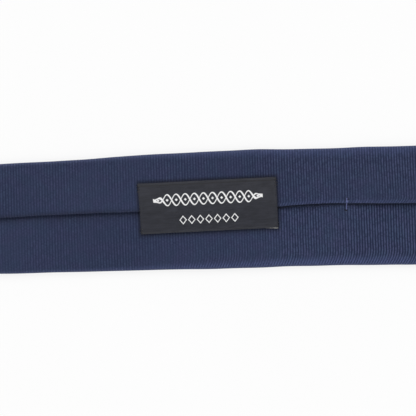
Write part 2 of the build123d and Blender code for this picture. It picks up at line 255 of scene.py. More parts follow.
def wrap_section(x):
    """Mid-surface of the wrapped silk at stations x: arrays (rows, columns) of y and z, in order.

    From the hidden edge of the lower flap, round the front, to the upper flap's turned-under edge.
    """
    x = np.asarray(x, dtype=float)[:, None]
    half = half_width(x)
    full = np.maximum(half, TIP_CLOSE)
    shrink = np.clip(half / TIP_CLOSE, 0.02, 1)
    rise = opening(x)
    closed = 1 - rise
    in_point = np.maximum(smooth((x - BLADE_SHOULDER_X) / 3), smooth((TAIL_SHOULDER_X - x) / 3))
    radius_y = np.minimum(EDGE_RADIUS * (1 + 0.3 * in_point), full - 1.0)
    roll_y = full - radius_y
    rim_y = np.maximum(full - POINT_RIM, 0.12)
    upper_y = seam_y(x) + rise * (rim_y - seam_y(x))
    lower_y = LOWER_FLAP_Y + rise * (-rim_y - LOWER_FLAP_Y)
    upper_y = np.minimum(upper_y, roll_y - 0.4)
    lower_y = np.where(rise > 0.5, np.maximum(lower_y, -roll_y + 0.4), lower_y)
    roll_top = 2 * EDGE_RADIUS - CLOTH / 2
    rim_z = RIM_TOP - CLOTH / 2 + rim_lift(x)
    rim_z = rim_z + rise * (roll_top + 0.1 - rim_z)
    lower_z = LOWER_FLAP_Z - CLOTH / 2 + rise * (roll_top + 0.1 - LOWER_FLAP_Z + CLOTH / 2)
    ys, zs = [], []

    def along(name):
        return np.linspace(0, 1, COLUMNS[name])

    def lay(y, z):
        ys.append(y)
        zs.append(z + 0 * y)

    def half_turn(name, centre_y, centre_z, radius_y, radius_z, start):
        angle = start + math.pi * np.linspace(0, 1, COLUMNS[name] + 2)[1:-1]
        lay(centre_y + radius_y * np.cos(angle), centre_z + radius_z * np.sin(angle))

    def long_edge(centre_y, start):
        half_turn("roll", centre_y, EDGE_RADIUS, radius_y - CLOTH / 2, EDGE_RADIUS - CLOTH / 2, start)

    t = denser(COLUMNS["lower_flap"], 0.27, 0.07)
    y = lower_y + (-roll_y - lower_y) * t
    crown = (0.12 * np.sin(math.pi * t) - 0.3 * bell(y, upper_y + 0.6, 2.2)) * closed  # sagging under the rim
    lay(y, lower_z + (roll_top - lower_z) * smooth(0.15 + 0.85 * t) + crown)
    long_edge(-roll_y, math.pi / 2)
    lay(-roll_y + 2 * roll_y * along("front"), CLOTH / 2)
    long_edge(roll_y, -math.pi / 2)
    t = denser(COLUMNS["upper_flap"], 0.92, 0.1)
    y = roll_y + (upper_y + RIM_RADIUS - roll_y) * t
    lay(y, roll_top + (rim_z - roll_top) * smooth(t ** 1.3) + 0.16 * np.sin(math.pi * t) * closed)
    half_turn("rim", upper_y + RIM_RADIUS, rim_z - RIM_RADIUS, RIM_RADIUS, RIM_RADIUS, math.pi / 2)
    t = along("turn")
    reach = np.minimum(TURN_UNDER, roll_y - upper_y - RIM_RADIUS - 0.1)
    lay(upper_y + RIM_RADIUS + reach * t, rim_z - 2 * RIM_RADIUS - 0.12 * np.sin(math.pi * t))

    y, z = np.concatenate(ys, axis=1), np.concatenate(zs, axis=1)
    wide_x = x + 0 * y
    on_back = smooth((z - 1.6) / 0.5)  # only the back ripples; the front lies flat
    calm = 1 - 0.6 * rise
    z = z + on_back * calm * (0.075 * waves(wide_x, y, 34, 21) + 0.03 * waves(wide_x, y, 13, 22))
    z = z - on_back * closed * pinch(wide_x, y)
    z = EDGE_RADIUS + (z - EDGE_RADIUS) * np.sqrt(shrink)
    return y * shrink + centre_line(x), z


def flap_top(x, y):
    """Height of the back's outer face at single points (x, y)."""
    heights = []
    upper = slice(UPPER_FLAP, UPPER_FLAP + COLUMNS["upper_flap"] + COLUMNS["rim"])
    for px, py in zip(x, y):
        section_y, section_z = (part[0] for part in wrap_section([px]))
        flap = upper if py >= section_y[upper].min() else slice(0, COLUMNS["lower_flap"])
        order = np.argsort(section_y[flap])
        heights.append(np.interp(py, section_y[flap][order], section_z[flap][order]) + CLOTH / 2)
    return np.array(heights)


def turned(x, y, angle):
    """x and y turned about the origin."""
    return x * math.cos(angle) - y * math.sin(angle), x * math.sin(angle) + y * math.cos(angle)


def label_place(along, across):
    """Tie coordinates of a point on the keeper label."""
    x, y = turned(along, across, LABEL_TILT)
    return x + LABEL[0], y + LABEL[1]


def label_coordinates(x, y):
    """The keeper label's own coordinates of a point: the inverse of label_place."""
    return turned(x - LABEL[0], y - LABEL[1], -LABEL_TILT)


# ---- meshes

def make_object(name, vertices, faces, material, layers):
    """A mesh object from vertices in millimetres; layers are its UV maps, per vertex, in millimetres too."""
    mesh = bpy.data.meshes.new(name)
    mesh.from_pydata((np.asarray(vertices) * MM).tolist(), [], faces)
    mesh.polygons.foreach_set("use_smooth", [True] * len(mesh.polygons))
    loops = np.empty(len(mesh.loops), dtype=np.int32)
    mesh.loops.foreach_get("vertex_index", loops)
    for layer_name, uv in layers.items():
        layer = mesh.uv_layers.new(name=layer_name)
        layer.data.foreach_set("uv", (np.asarray(uv)[loops] * MM).astype(np.float32).ravel())
    mesh.validate()
    mesh.update()
    mesh.set_sharp_from_angle(angle=math.radians(50))
    obj = bpy.data.objects.new(name, mesh)
    bpy.context.scene.collection.objects.link(obj)
    mesh.materials.append(material)
    return obj


def stack(*parts):
    """Coordinates side by side in a last axis."""
    return np.stack(np.broadcast_arrays(*parts), axis=-1)


def unit(vectors):
    """Vectors scaled to length 1 along their last axis."""
    return vectors / np.maximum(np.linalg.norm(vectors, axis=-1, keepdims=True), 1e-9)


def grid_normals(points):
    """Unit normals of a grid of points (rows, columns, 3)."""
    return unit(np.cross(np.gradient(points, axis=0), np.gradient(points, axis=1)))


def thick_sheet(name, points, thickness, material, layers, flip=False, inner_material=None):
    """A closed sheet of cloth, half its thickness on each side of a grid of mid-surface points."""
    rows, columns = points.shape[:2]
    half = grid_normals(points) * np.broadcast_to(thickness, (rows, columns))[..., None] / 2
    if flip:
        half = -half
    vertices = np.concatenate([(points + half).reshape(-1, 3), (points - half).reshape(-1, 3)])
    count = rows * columns
    index = np.arange(count).reshape(rows, columns)
    a, b = index[:-1, :-1].ravel(), index[1:, :-1].ravel()
    c, d = index[1:, 1:].ravel(), index[:-1, 1:].ravel()
    top = np.stack([a, d, c, b] if flip else [a, b, c, d], axis=1)
    bottom = top[:, ::-1] + count
    border = list(index[:, 0]) + list(index[-1, 1:]) + list(index[-2::-1, -1]) + list(index[0, -2:0:-1])
    ring = np.array(border + border[:1])
    if flip:
        ring = ring[::-1]
    wall = np.stack([ring[1:], ring[:-1], ring[:-1] + count, ring[1:] + count], axis=1)
    faces = np.concatenate([top, bottom, wall]).tolist()
    layers = {key: np.concatenate([layer.reshape(-1, 2)] * 2) for key, layer in layers.items()}
    obj = make_object(name, vertices, faces, material, layers)
    if inner_material:
        obj.data.materials.append(inner_material)
        obj.data.polygons.foreach_set("material_index", [0] * len(top) + [1] * (len(faces) - len(top)))
    return obj


def arc_lengths(y, z):
    """Distance along each row of a section, measured from its middle column."""
    step = np.hypot(np.diff(y, axis=1), np.diff(z, axis=1))
    run = np.concatenate([np.zeros((len(y), 1)), np.cumsum(step, axis=1)], axis=1)
    return run - run[:, [run.shape[1] // 2]]


def stations(start, *spans):
    """Row positions from a start, through (end, step) spans that follow each other."""
    parts = []
    for end, step in spans:
        parts.append(np.linspace(start, end, max(2, int(round(abs(end - start) / step)) + 1))[:-1])
        start = end
    return np.concatenate(parts + [[start]])


def section_at(x):
    """wrap_section for a grid of x that differs from column to column."""
    y, z = np.empty_like(x), np.empty_like(x)
    span = np.linspace(x.min(), x.max(), max(3, int((x.max() - x.min()) / 0.35)))
    section_y, section_z = wrap_section(span)
    for column in range(x.shape[1]):
        y[:, column] = np.interp(x[:, column], span, section_y[:, column])
        z[:, column] = np.interp(x[:, column], span, section_z[:, column])
    return y, z


LEANS = (  # where the cloth is pulled askew: from x, over this length, between these y, and how much
    (468, 30, -99, -21.5, 0.055),  # by the lower edge
    (500, 30, 0, 2.8, 0.24),  # by the seam
)
BIAS_EASE = 60  # the cloth's rows turn square over this distance from a bias seam
BIAS_SUNK, BIAS_GROOVE = 0.22, 1.1  # depth of the groove at a bias seam, and its half width
LABEL_SHADE_BELOW = (0.45, 0.5)  # the label's shade reaches further below it: offset and slope


def rib_lean(x, y):
    """Shift of the ribs along the tie where the cloth is pulled askew."""
    return sum(smooth((x - start) / over) * amount * np.clip(high - y, 0, None) ** 2 * (y > low)
               for start, over, low, high, amount in LEANS)


def distance_layers(x, y, z, v):
    """What the silk's material reads besides its weave: distances from the folds, the label and the tacks,
    which among other things place its painted highlights and shade.
    """
    from_edge = np.minimum(*(np.abs(v - v[:, [column]]) for column in (LOW_ROLL, HIGH_ROLL)))
    lower = np.arange(y.shape[1]) < COLUMNS["lower_flap"]
    from_seam = np.where(lower, FAR + np.abs(y[:, [RIM]] - y), v - v[:, [RIM]])  # FAR marks the lower flap
    along, across = label_coordinates(x, y)
    offset, slope = LABEL_SHADE_BELOW
    beyond = np.abs(across) - LABEL_HEIGHT / 2
    beyond = np.where(across < 0, offset + slope * beyond, beyond)
    from_label = np.maximum(np.abs(along) - LABEL_LENGTH / 2, beyond)
    from_hole = np.minimum.reduce([away for away, _ in from_holes(x, y - centre_line(x))])
    # distances that place the painted shade round the label and in the tacks' holes
    shade_reach = np.where(z[..., None] > BACK_Z, stack(from_label, np.minimum(from_hole, FAR)), FAR)
    return {"Folds": stack(from_edge, from_seam), "ShadeReach": shade_reach}


def silk_piece(name, rows, material, low_seam=None, high_seam=None, tip=None):
    """One length of the wrapped silk. low_seam and high_seam are the bias seams that end it."""
    shear, sunk = np.zeros_like(rows), np.zeros_like(rows)
    for seam, side in ((low_seam, 1), (high_seam, -1)):
        if seam is not None:
            shear = np.maximum(shear, 1 - smooth(side * (rows - seam) / BIAS_EASE))
            sunk = np.maximum(sunk, BIAS_SUNK * (1 - smooth(np.abs(rows - seam) / BIAS_GROOVE)))
    y, z = wrap_section(rows)
    askew = shear > 0
    x = rows[:, None] - shear[:, None] * y
    for _ in range(2):  # the section is taken again where each point really is
        y[askew], z[askew] = section_at(x[askew])
        x = rows[:, None] - shear[:, None] * y
    points = stack(x, y, z)
    if sunk.any():
        points = points + grid_normals(points) * sunk[:, None, None]
    thin = np.ones_like(rows) if tip is None else np.clip(np.abs(rows - tip) / TIP_CLOSE, 0.05, 1)
    v = arc_lengths(y, z)
    u = x + rib_lean(x, y) * (z > EDGE_RADIUS) * (1 - opening(x))
    layers = {"Cloth": stack(u, v), **distance_layers(x, y, z, v)}
    return thick_sheet(name, points, CLOTH * thin[:, None], material, layers, flip=True)


def tube(name, path, radius, material, sides):
    """A round tube along path (points in millimetres), with rounded ends."""
    tangent = unit(np.gradient(path, axis=0))
    side = unit(np.cross(tangent, [0.13, 0.21, 0.97]))  # no stitch runs along this direction
    lift = np.cross(side, tangent)
    radii = np.full(len(path), radius)
    radii[0] = radii[-1] = radius * 0.35
    angles = np.linspace(0, TURN, sides, endpoint=False)
    spokes = np.cos(angles)[:, None] * side[:, None] + np.sin(angles)[:, None] * lift[:, None]
    rings = path[:, None] + radii[:, None, None] * spokes
    run = np.concatenate([[0], np.cumsum(np.linalg.norm(np.diff(path, axis=0), axis=1))])
    index = np.arange(len(path) * sides).reshape(-1, sides)
    beside = np.roll(index, -1, axis=1)
    faces = stack(index[:-1], beside[:-1], beside[1:], index[1:]).reshape(-1, 4).tolist()
    faces += [index[0, ::-1].tolist(), index[-1].tolist()]
    uv = stack(np.repeat(run, sides), np.tile(angles * radius, len(path)))
    return make_object(name, rings.reshape(-1, 3), faces, material, {"Cloth": uv})


def stitches(name, paths, radius, material, sides):
    """One piece of several stitches, each a tube along its own path."""
    bpy.ops.object.select_all(action="DESELECT")
    objects = [tube(name, path, radius, material, sides) for path in paths]
    for obj in objects:
        obj.select_set(True)
    bpy.context.view_layer.objects.active = objects[0]
    bpy.ops.object.join()
    return objects[0]


# ---- materials

class Term:
    """The output of a node, so that sums of nodes can be written as sums."""

    def __init__(self, nodes, socket):
        self.nodes, self.socket = nodes, socket

    def __add__(self, other):
        return self.nodes.math("ADD", self, other)

    def __sub__(self, other):
        return self.nodes.math("SUBTRACT", self, other)

    def __mul__(self, other):
        return self.nodes.math("MULTIPLY", self, other)

    def __truediv__(self, other):
        return self.nodes.math("DIVIDE", self, other)

    def __abs__(self):
        return self.nodes.math("ABSOLUTE", self)


class Nodes:
    """The node tree of a new material or world, with short ways to add to it."""

    def __init__(self, name, kind=bpy.data.materials, shader="Principled BSDF"):
        self.owner = kind.new(name)
        self.owner.use_nodes = True
        self.tree = self.owner.node_tree
        self.shader = self.tree.nodes[shader]

    def feed(self, value, socket):
        """Give a socket a number, a colour or another node's output."""
        if isinstance(value, Term):
            self.tree.links.new(value.socket, socket)
        else:
            socket.default_value = value

    def add(self, kind, inputs=(), output=0, **settings):
        """Add a node, feed its inputs, which are numbered or named, and return an output."""
        node = self.tree.nodes.new(f"ShaderNode{kind}")
        for key, value in settings.items():
            setattr(node, key, value)
        for key, value in dict(inputs).items():
            self.feed(value, node.inputs[key])
        return Term(self, node.outputs[output])

    def math(self, operation, *values, clamp=False):
        return self.add("Math", enumerate(values), operation=operation, use_clamp=clamp)

    def clamp(self, value):
        return self.math("ADD", value, 0.0, clamp=True)

    def between(self, share, low, high):
        """The number that lies a share of the way from low to high."""
        return share * (high - low) + low

    def part(self, vector, number):
        return self.add("SeparateXYZ", {0: vector}, number)

    def cloth_uv(self, layer="Cloth"):
        """The two numbers that a mesh carries in a layer; Cloth has the millimetres along and across it."""
        uv = self.add("UVMap", uv_map=layer)
        return self.part(uv, 0) * (1 / MM), self.part(uv, 1) * (1 / MM)

    def place(self, kind="Object"):
        return self.add("TexCoord", output=kind)

    def point(self, x, y, z=0.0):
        return self.add("CombineXYZ", enumerate((x, y, z)))

    def noise(self, position, scale, detail=2.0, roughness=0.5):
        inputs = {"Vector": position, "Scale": scale, "Detail": detail, "Roughness": roughness}
        return self.add("TexNoise", inputs, "Fac")

    def cloud(self, u, v, along, across, seed=0.0, detail=2.0, roughness=0.5):
        """Noise that changes along and across times a millimetre."""
        return self.noise(self.point(u * along, v * across, seed), 1.0, detail, roughness)

    def wave(self, phase):
        """0.5 + 0.5 sin of a phase counted in turns."""
        return self.math("SINE", phase * TURN) * 0.5 + 0.5

    def satin(self, u, v, pitch, length, shift):
        """A satin's floats along u, each row shifted against the last, and its rows of thread."""
        row = self.math("FLOOR", v / pitch)
        return self.wave(u / length + row * shift), self.wave(v / pitch)

    def ramp(self, factor, low, high, out_low=0.0, out_high=1.0):
        inputs = enumerate((factor, low, high, out_low, out_high))
        return self.add("MapRange", inputs, interpolation_type="SMOOTHSTEP")

    def mix(self, factor, a, b):
        return self.add("Mix", {0: factor, 6: a, 7: b}, 2, data_type="RGBA")

    def bump(self, height, distance):
        """Raise the surface by height times a distance in millimetres."""
        normal = self.add("Bump", {"Height": height, "Distance": distance * MM})
        self.feed(normal, self.shader.inputs["Normal"])

    def surface(self, color, roughness, specular=0.3, sheen=0.0, tint=(1, 1, 1, 1)):
        for name, value in (("Base Color", color), ("Roughness", roughness), ("Specular IOR Level", specular),
                            ("Sheen Weight", sheen), ("Sheen Roughness", 0.4), ("Sheen Tint", tint)):
            self.feed(value, self.shader.inputs[name])
        return self.owner


RIB_PITCH = 1.32
CLOSER_X, CLOSER = 500.0, 0.036  # from here on there are so many more ribs a millimetre
# painted shade colour, for the seam's crease, round the label and in the tacks' holes
NAVY_PAINTED_SHADE = (0.0025, 0.0040, 0.0110, 1)
NAVY_DARK = (0.0078, 0.0129, 0.0418, 1)
NAVY_VIOLET = (0.0474, 0.0580, 0.1290, 1)
NAVY_TEAL = (0.0410, 0.0615, 0.1250, 1)
# painted highlight colour, along the long edges and the folded edge
NAVY_FOLD_HIGHLIGHT = (0.0560, 0.0740, 0.1750, 1)
# Spans of x over which the cloth changes towards the wide end
BOLD = (508.0, 550.0)  # the ribs stand out
WIDE_END = (520.0, 560.0)  # the cloth is paler and grainier
BROAD = (565.0, 590.0)  # the ribs are at their boldest
ASKEW = (465.0, 500.0)  # the lower flap's ribs are pulled askew
HIGHLIGHT_WIDENS = (410.0, 575.0)  # the painted highlight along the long edges widens
GAPING = (500.0, 545.0)  # the folded edge's painted highlight grows, and the painted shade beside the seam gets narrow and deep


def silk_material():
    """Navy ribbed silk: ribs across the tie, each of short floats that catch the light in streaks.

    The ribs show most towards the wide end. A paler highlight is painted along the long edges and the folded
    edge, and shade is painted beside the seam, round the label and in the bar tacks' holes.
    """
    n = Nodes("navy_silk")
    u, v = n.cloth_uv()
    from_edge, from_seam = n.cloth_uv("Folds")
    from_label, from_hole = n.cloth_uv("ShadeReach")
    drift = n.cloud(u, v, 0.06, 0.024, detail=3.0)
    jitter = n.cloud(u, v, 0.7, 0.35, seed=7.0)
    u = u + (drift - 0.5) * 0.8 + (jitter - 0.5) * 0.3
    bold, wide_end, broad, gaping = (n.ramp(u, *span) for span in (BOLD, WIDE_END, BROAD, GAPING))
    lower_flap = n.ramp(from_seam, FAR - 5.0, FAR)
    below = lower_flap * wide_end
    askew = lower_flap * n.ramp(u, *ASKEW)
    # painted highlight: rib glints grow bolder near the lower flap's long edge
    edge_glints = n.ramp(from_edge, 1.0, 4.5, 1.0, 0.0) * askew

    # Weave: ribs, and on each rib floats, whose number shifts them
    turns = u / RIB_PITCH + n.math("MAXIMUM", u - CLOSER_X, 0.0) * CLOSER
    rib = n.wave(turns)
    number = n.math("FLOOR", turns + 0.25)
    pick = n.wave(number * 0.37 + v / 0.34)
    cross = n.wave(number * 0.5 + v / 1.5)
    streak = n.cloud(number, v, 1.7, 0.42, detail=3.0, roughness=0.7)
    cluster = n.cloud(u, v, 0.055, 0.035, seed=4.0)
    region = n.cloud(u, v, 0.014, 0.02, seed=9.0, detail=1.0)
    speck = n.cloud(u, v, 1.5, 1.5, seed=3.0, roughness=0.6)
    hue = n.cloud(u, v, 0.12, 0.16, seed=3.0)

    # Light on the weave
    boldness = n.between(bold, 0.55, 1.0) * n.ramp(cluster, 0.3, 0.62, 0.55, 1.15)
    boldness = boldness * (below * n.between(broad, 0.6, 0.95) + broad * 0.13 + 0.93)
    boldness = boldness + edge_glints * n.between(bold, 0.6, 0.15)
    glint = n.ramp(streak, 0.36, 0.70) * rib
    contrast = (rib - 0.5) * 0.5 + glint * 0.66 - 0.145
    light = contrast * boldness + 0.37 + below * 0.03 + wide_end * 0.045 + askew * 0.04
    light = light + (region - 0.5) * 0.22 + (speck - 0.5) * n.between(wide_end, 0.56, 0.86)
    light = n.clamp(light + (cross - 0.5) * 0.10)
    color = n.mix(light, NAVY_DARK, n.mix(n.ramp(hue, 0.35, 0.65), NAVY_VIOLET, NAVY_TEAL))

    # Painted highlight, pale along the long edges and the folded edge
    uneven = (light - 0.42) * (edge_glints * 1.3 + 0.3)
    edge_highlight_share = n.ramp(from_edge / n.ramp(u, *HIGHLIGHT_WIDENS, 1.8, 4.8), 0.1, 1.3, 1.0, 0.0)
    color = n.mix(n.clamp(edge_highlight_share * (askew * 0.26 + uneven + 0.46)), color, NAVY_FOLD_HIGHLIGHT)
    # painted highlight on the upper flap's folded edge
    rim = n.ramp(abs(from_seam + 0.7), 0.2, 1.6, 1.0, 0.0) * n.between(gaping, 0.04, 0.34)
    color = n.mix(rim * (light * 1.2 + 0.3), color, NAVY_FOLD_HIGHLIGHT)

    # Painted shade beside the seam, round the label and in the bar tacks' holes
    beside_seam = abs(from_seam - FAR) / n.between(gaping, 5.5, 1.5)
    # painted shade in the crease below the folded edge
    crease_shade = n.ramp(beside_seam, 0.0, 1.0, 0.7, 0.0) * n.between(gaping, 0.42, 1.3)
    # painted shade over the folded edge, towards the narrow end
    fold_edge_shade = n.ramp(abs(from_seam + 0.2), 0.4, 2.2, 0.34, 0.0) * n.between(gaping, 1.0, 0.0)
    # painted contact shadow round the label
    label_contact_shade = n.ramp(abs(from_label), 0.2, 2.2, 0.62, 0.0)
    # painted shade in the bar tacks' needle holes
    hole_shade = n.ramp(from_hole, 0.5, 1.4, 0.9, 0.0)
    for shade in (n.clamp(crease_shade), fold_edge_shade, label_contact_shade, hole_shade):
        color = n.mix(shade, color, NAVY_PAINTED_SHADE)
    n.bump(pick * 0.22 + rib, 0.09)
    return n.surface(color, light * -0.16 + 0.6, specular=0.2, sheen=0.08, tint=(0.5, 0.6, 1, 1))


def lining_material():
    """Smooth satin lining, with fine floats along the tie."""
    n = Nodes("satin_lining")
    u, v = n.cloth_uv()
    floats, thread = n.satin(u, v, pitch=0.22, length=1.1, shift=0.4)
    soft = n.cloud(u, v, 0.05, 0.05)
    slub = n.cloud(u, v, 0.12, 1.6, seed=5.0, detail=3.0, roughness=0.6)
    shade = n.between(floats, 0.45, 1.0) * n.ramp(slub, 0.3, 0.7) + (soft - 0.5) * 0.6
    color = n.mix(n.clamp(shade), (0.0095, 0.013, 0.032, 1), (0.036, 0.047, 0.100, 1))
    n.bump(thread + floats * 0.5, 0.03)
    return n.surface(color, soft * 0.12 + 0.36, specular=0.25, sheen=0.1, tint=(0.6, 0.7, 1, 1))


def wool_material():
    """Brushed wool interlining: open weave with loose hair."""
    n = Nodes("wool_interlining")
    u, v = n.cloth_uv()
    weave = (n.wave(u / 0.9) + n.wave(v / 0.9)) * 0.5
    hair = n.cloud(u, v, 1.2, 3.6, detail=4.0, roughness=0.7)
    color = n.mix(weave * hair, (0.36, 0.33, 0.27, 1), (0.68, 0.65, 0.57, 1))
    n.bump(weave + hair, 0.12)
    return n.surface(color, 0.9, specular=0.1, sheen=0.3)


BRAID_Y, BRAID_END, BRAID_HEIGHT, BRAID_PERIOD, BRAID_LINE, BRAID_SWELL = 3.5, 25.5, 2.6, 8.5, 0.17, -0.09
ROW_Y, ROW_END, ROW_PITCH = -6.1, 14.2, 4.05  # the row of lozenges
LOZENGE_LONG, LOZENGE_TALL, LOZENGE_LINE = 1.5, 1.8, 0.2
LABEL_DARK, LABEL_PALE = (0.0060, 0.0072, 0.0136, 1), (0.0178, 0.0196, 0.0305, 1)
EDGE_SHADE_IN = 1.3  # painted shade: a dark line runs this far inside the label's upper edge


def label_material():
    """Charcoal satin label with a plain woven ornament: a braid with dots, over a row of lozenges."""
    n = Nodes("label_satin")
    u, v = n.cloth_uv()
    floats, weft = n.satin(u, v, pitch=0.26, length=1.3, shift=0.38)
    soft = n.cloud(u, v, 0.11, 0.11, detail=3.0)
    patch = n.cloud(u, v, 0.12, 0.3, seed=5.0, detail=3.0, roughness=0.65)
    slub = n.cloud(u, v, 0.18, 1.5, seed=8.0)
    mottle = soft + (patch - 0.5) * 2.8 + (slub - 0.5) * 1.9
    base = n.mix(n.clamp(floats * 0.3 + mottle * 0.7), LABEL_DARK, LABEL_PALE)
    # painted highlight along both long edges
    label_edge_highlight = n.ramp(abs(v), LABEL_HEIGHT / 2 - 1.1, LABEL_HEIGHT / 2 - 0.8)
    base = n.mix(label_edge_highlight * 0.06, base, (0.085, 0.085, 0.09, 1))
    # painted shade in a line inside the upper edge
    upper_edge_shade = n.ramp(abs(v - (LABEL_HEIGHT / 2 - EDGE_SHADE_IN)), 0.15, 0.45, 0.6, 0.0)
    base = n.mix(upper_edge_shade, base, (0.0055, 0.0058, 0.0080, 1))

    def strand(offset):
        """How much of the point lies on one strand of the braid."""
        phase = (u / BRAID_PERIOD + offset) * TURN
        swing, slope = n.math("SINE", phase), n.math("COSINE", phase)
        line_y = swing * n.ramp(abs(u), BRAID_END - 7.0, BRAID_END, 1.0, 0.15) * BRAID_HEIGHT + BRAID_Y
        steep = TURN * BRAID_HEIGHT / BRAID_PERIOD
        gap = abs(v - line_y) / n.math("SQRT", slope * slope * steep ** 2 + 1.0)
        inside = n.ramp(abs(u), BRAID_END, BRAID_END + 0.3, 1.0, 0.0)
        return n.ramp(gap - (slope * BRAID_SWELL + BRAID_LINE), 0.0, 0.22, 1.0, 0.0) * inside

    def cell(pitch, end, shift):
        """Distance along from the middle of the nearest repeat, and 1 within the row."""
        local = (n.math("FRACT", u / pitch + shift) - 0.5) * pitch
        return abs(local), n.math("LESS_THAN", abs(u), end)

    near, inside = cell(BRAID_PERIOD / 2, BRAID_END - 1.5, 0.0)
    dot = n.ramp(near + abs(v - BRAID_Y), 0.55, 0.8, 1.0, 0.0) * inside
    near, inside = cell(ROW_PITCH, ROW_END, 0.5)
    outline = abs(near / LOZENGE_LONG + abs(v - ROW_Y) / LOZENGE_TALL - 1.0)
    lozenge = n.ramp(outline, LOZENGE_LINE * 0.6, LOZENGE_LINE * 1.2, 1.0, 0.0) * inside
    motif = strand(0.0)
    for other in (strand(0.5), dot, lozenge):
        motif = n.math("MAXIMUM", motif, other)
    stitch = n.wave(v / 0.52 + u / 0.9)
    thread = n.mix(stitch * 0.45, (0.90, 0.90, 0.90, 1), (0.62, 0.62, 0.64, 1))
    n.bump(floats * 0.4 + weft + motif * 2.2, 0.035)
    return n.surface(n.mix(motif, base, thread), motif * 0.15 + 0.5, specular=0.32, sheen=0.08)


def label_reverse_material():
    """The label's wrong side, pale with the ornament's loose floats."""
    n = Nodes("label_reverse")
    u, v = n.cloth_uv()
    floats = n.cloud(u, v, 0.4, 4.0, detail=3.0, roughness=0.6)
    color = n.mix(n.ramp(floats, 0.35, 0.65), (0.16, 0.16, 0.16, 1), (0.52, 0.52, 0.50, 1))
    n.bump(floats, 0.05)
    return n.surface(color, 0.75, specular=0.2, sheen=0.1)


def care_material():
    """Blank off-white taffeta."""
    n = Nodes("care_taffeta")
    u, v = n.cloth_uv()
    weave = n.wave(u / 0.3) * n.wave(v / 0.3)
    color = n.mix(weave * n.cloud(u, v, 0.3, 0.3), (0.66, 0.65, 0.61, 1), (0.86, 0.85, 0.81, 1))
    n.bump(weave, 0.03)
    return n.surface(color, 0.6, specular=0.3, sheen=0.1)


def thread_material(name, dark, light, on_cad=False):
    """Twisted sewing thread: two plies winding round each other.

    The CAD's own meshes carry no cloth coordinates, so on them the plies go by place.
    """
    n = Nodes(name)
    if on_cad:
        x, y, z = (n.part(n.place(), i) * (1 / MM) for i in range(3))
        ply, position = n.wave((x - y) / 0.8 + z / 0.5), n.point(x, y, z)
    else:
        u, v = n.cloth_uv()
        ply, position = n.wave(u / 0.55 + v / 0.9), n.point(u, v)
    color = n.mix((ply + n.noise(position, 3.0)) * 0.5, dark, light)
    n.bump(ply, 0.05)
    return n.surface(color, 0.5, specular=0.35, sheen=0.15)


def floor_material():
    """A white table top, very slightly uneven, lit a little from beneath."""
    n = Nodes("table_white")
    speckle = n.noise(n.place(), 9.0, 3.0)
    n.feed((1, 1, 1, 1), n.shader.inputs["Emission Color"])
    n.feed(0.82, n.shader.inputs["Emission Strength"])
    return n.surface(n.mix(speckle, (0.155, 0.155, 0.155, 1), (0.165, 0.165, 0.165, 1)), 0.9, specular=0.0)


SILK = silk_material()
LINING = lining_material()
WOOL = wool_material()
LABEL_FACE = label_material()
LABEL_BACK = label_reverse_material()
CARE = care_material()
NAVY_THREAD_COLORS = (0.012, 0.016, 0.038, 1), (0.045, 0.058, 0.12, 1)
NAVY_THREAD = thread_material("navy_thread", *NAVY_THREAD_COLORS)
LILAC_THREAD = thread_material("lilac_thread", (0.050, 0.062, 0.17, 1), (0.155, 0.185, 0.40, 1))
BLACK_THREAD = thread_material("black_thread", (0.008, 0.008, 0.010, 1), (0.03, 0.03, 0.035, 1))
SEAM_THREAD = thread_material("seam_thread", *NAVY_THREAD_COLORS, on_cad=True)

for node in ("blade_neck_seam", "neck_tail_seam"):
    for material_slot in frame["nodes"][node].material_slots:
        material_slot.material = SEAM_THREAD

# ---- the silk

FOLD_ZONES = {"blade_fold": 5.2, "neck_fold": 3.4, "tail_fold": 2.5}  # half the length of each fold's zone


def hand_over(piece, mover, nodes, slot):
    """Bake a finished piece's placing into its mesh where its mover is a fold, or have it ride a body, and
    hide the CAD nodes it stands for; slot is not used.
    """
    if mover in JOINTS:
        x, reach = fold_x(mover), FOLD_ZONES[mover]
        (x + reach) * MM
        (x - reach) * MM
        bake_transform(piece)
    else:
        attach(piece, mover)
    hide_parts(*nodes)


# Rows of each silk, close together at the seams, folds, tacks and tips, and where the picture looks
BLADE_ROWS = stations(
    BLADE_SEAM_X + 0.05, (BLADE_SEAM_X + 1.5, 0.4), (BLADE_FOLD_X - 6, 3.0), (BLADE_FOLD_X + 6, 0.5),
    (400, 1.6), (BLADE_TACK[0] - 4, 1.25), (BLADE_TACK[0] + 4, 0.3), (602, 1.25),
    (BLADE_SHOULDER_X - 3, 2.0), (BLADE_TIP_X - 3, 0.8), (BLADE_TIP_X - 0.02, 0.25))
NECK_ROWS = stations(
    TAIL_SEAM_X + 0.05, (TAIL_SEAM_X + 1.5, 0.4), (NECK_FOLD_X - 5, 3.0), (NECK_FOLD_X + 5, 0.4),
    (BLADE_SEAM_X - 1.5, 3.0), (BLADE_SEAM_X - 0.05, 0.4))
TAIL_ROWS = stations(
    TAIL_TIP_X + 0.02, (TAIL_TIP_X + 3, 0.25), (TAIL_SHOULDER_X + 3, 0.8), (TAIL_OPEN_X, 1.6),
    (TAIL_TACK[0] - 8, 1.2), (TAIL_TACK[0] + 8, 0.35), (TAIL_FOLD_X - 5, 2.6), (TAIL_FOLD_X + 5, 0.4),
    (TAIL_SEAM_X - 1.5, 2.6), (TAIL_SEAM_X - 0.05, 0.4))

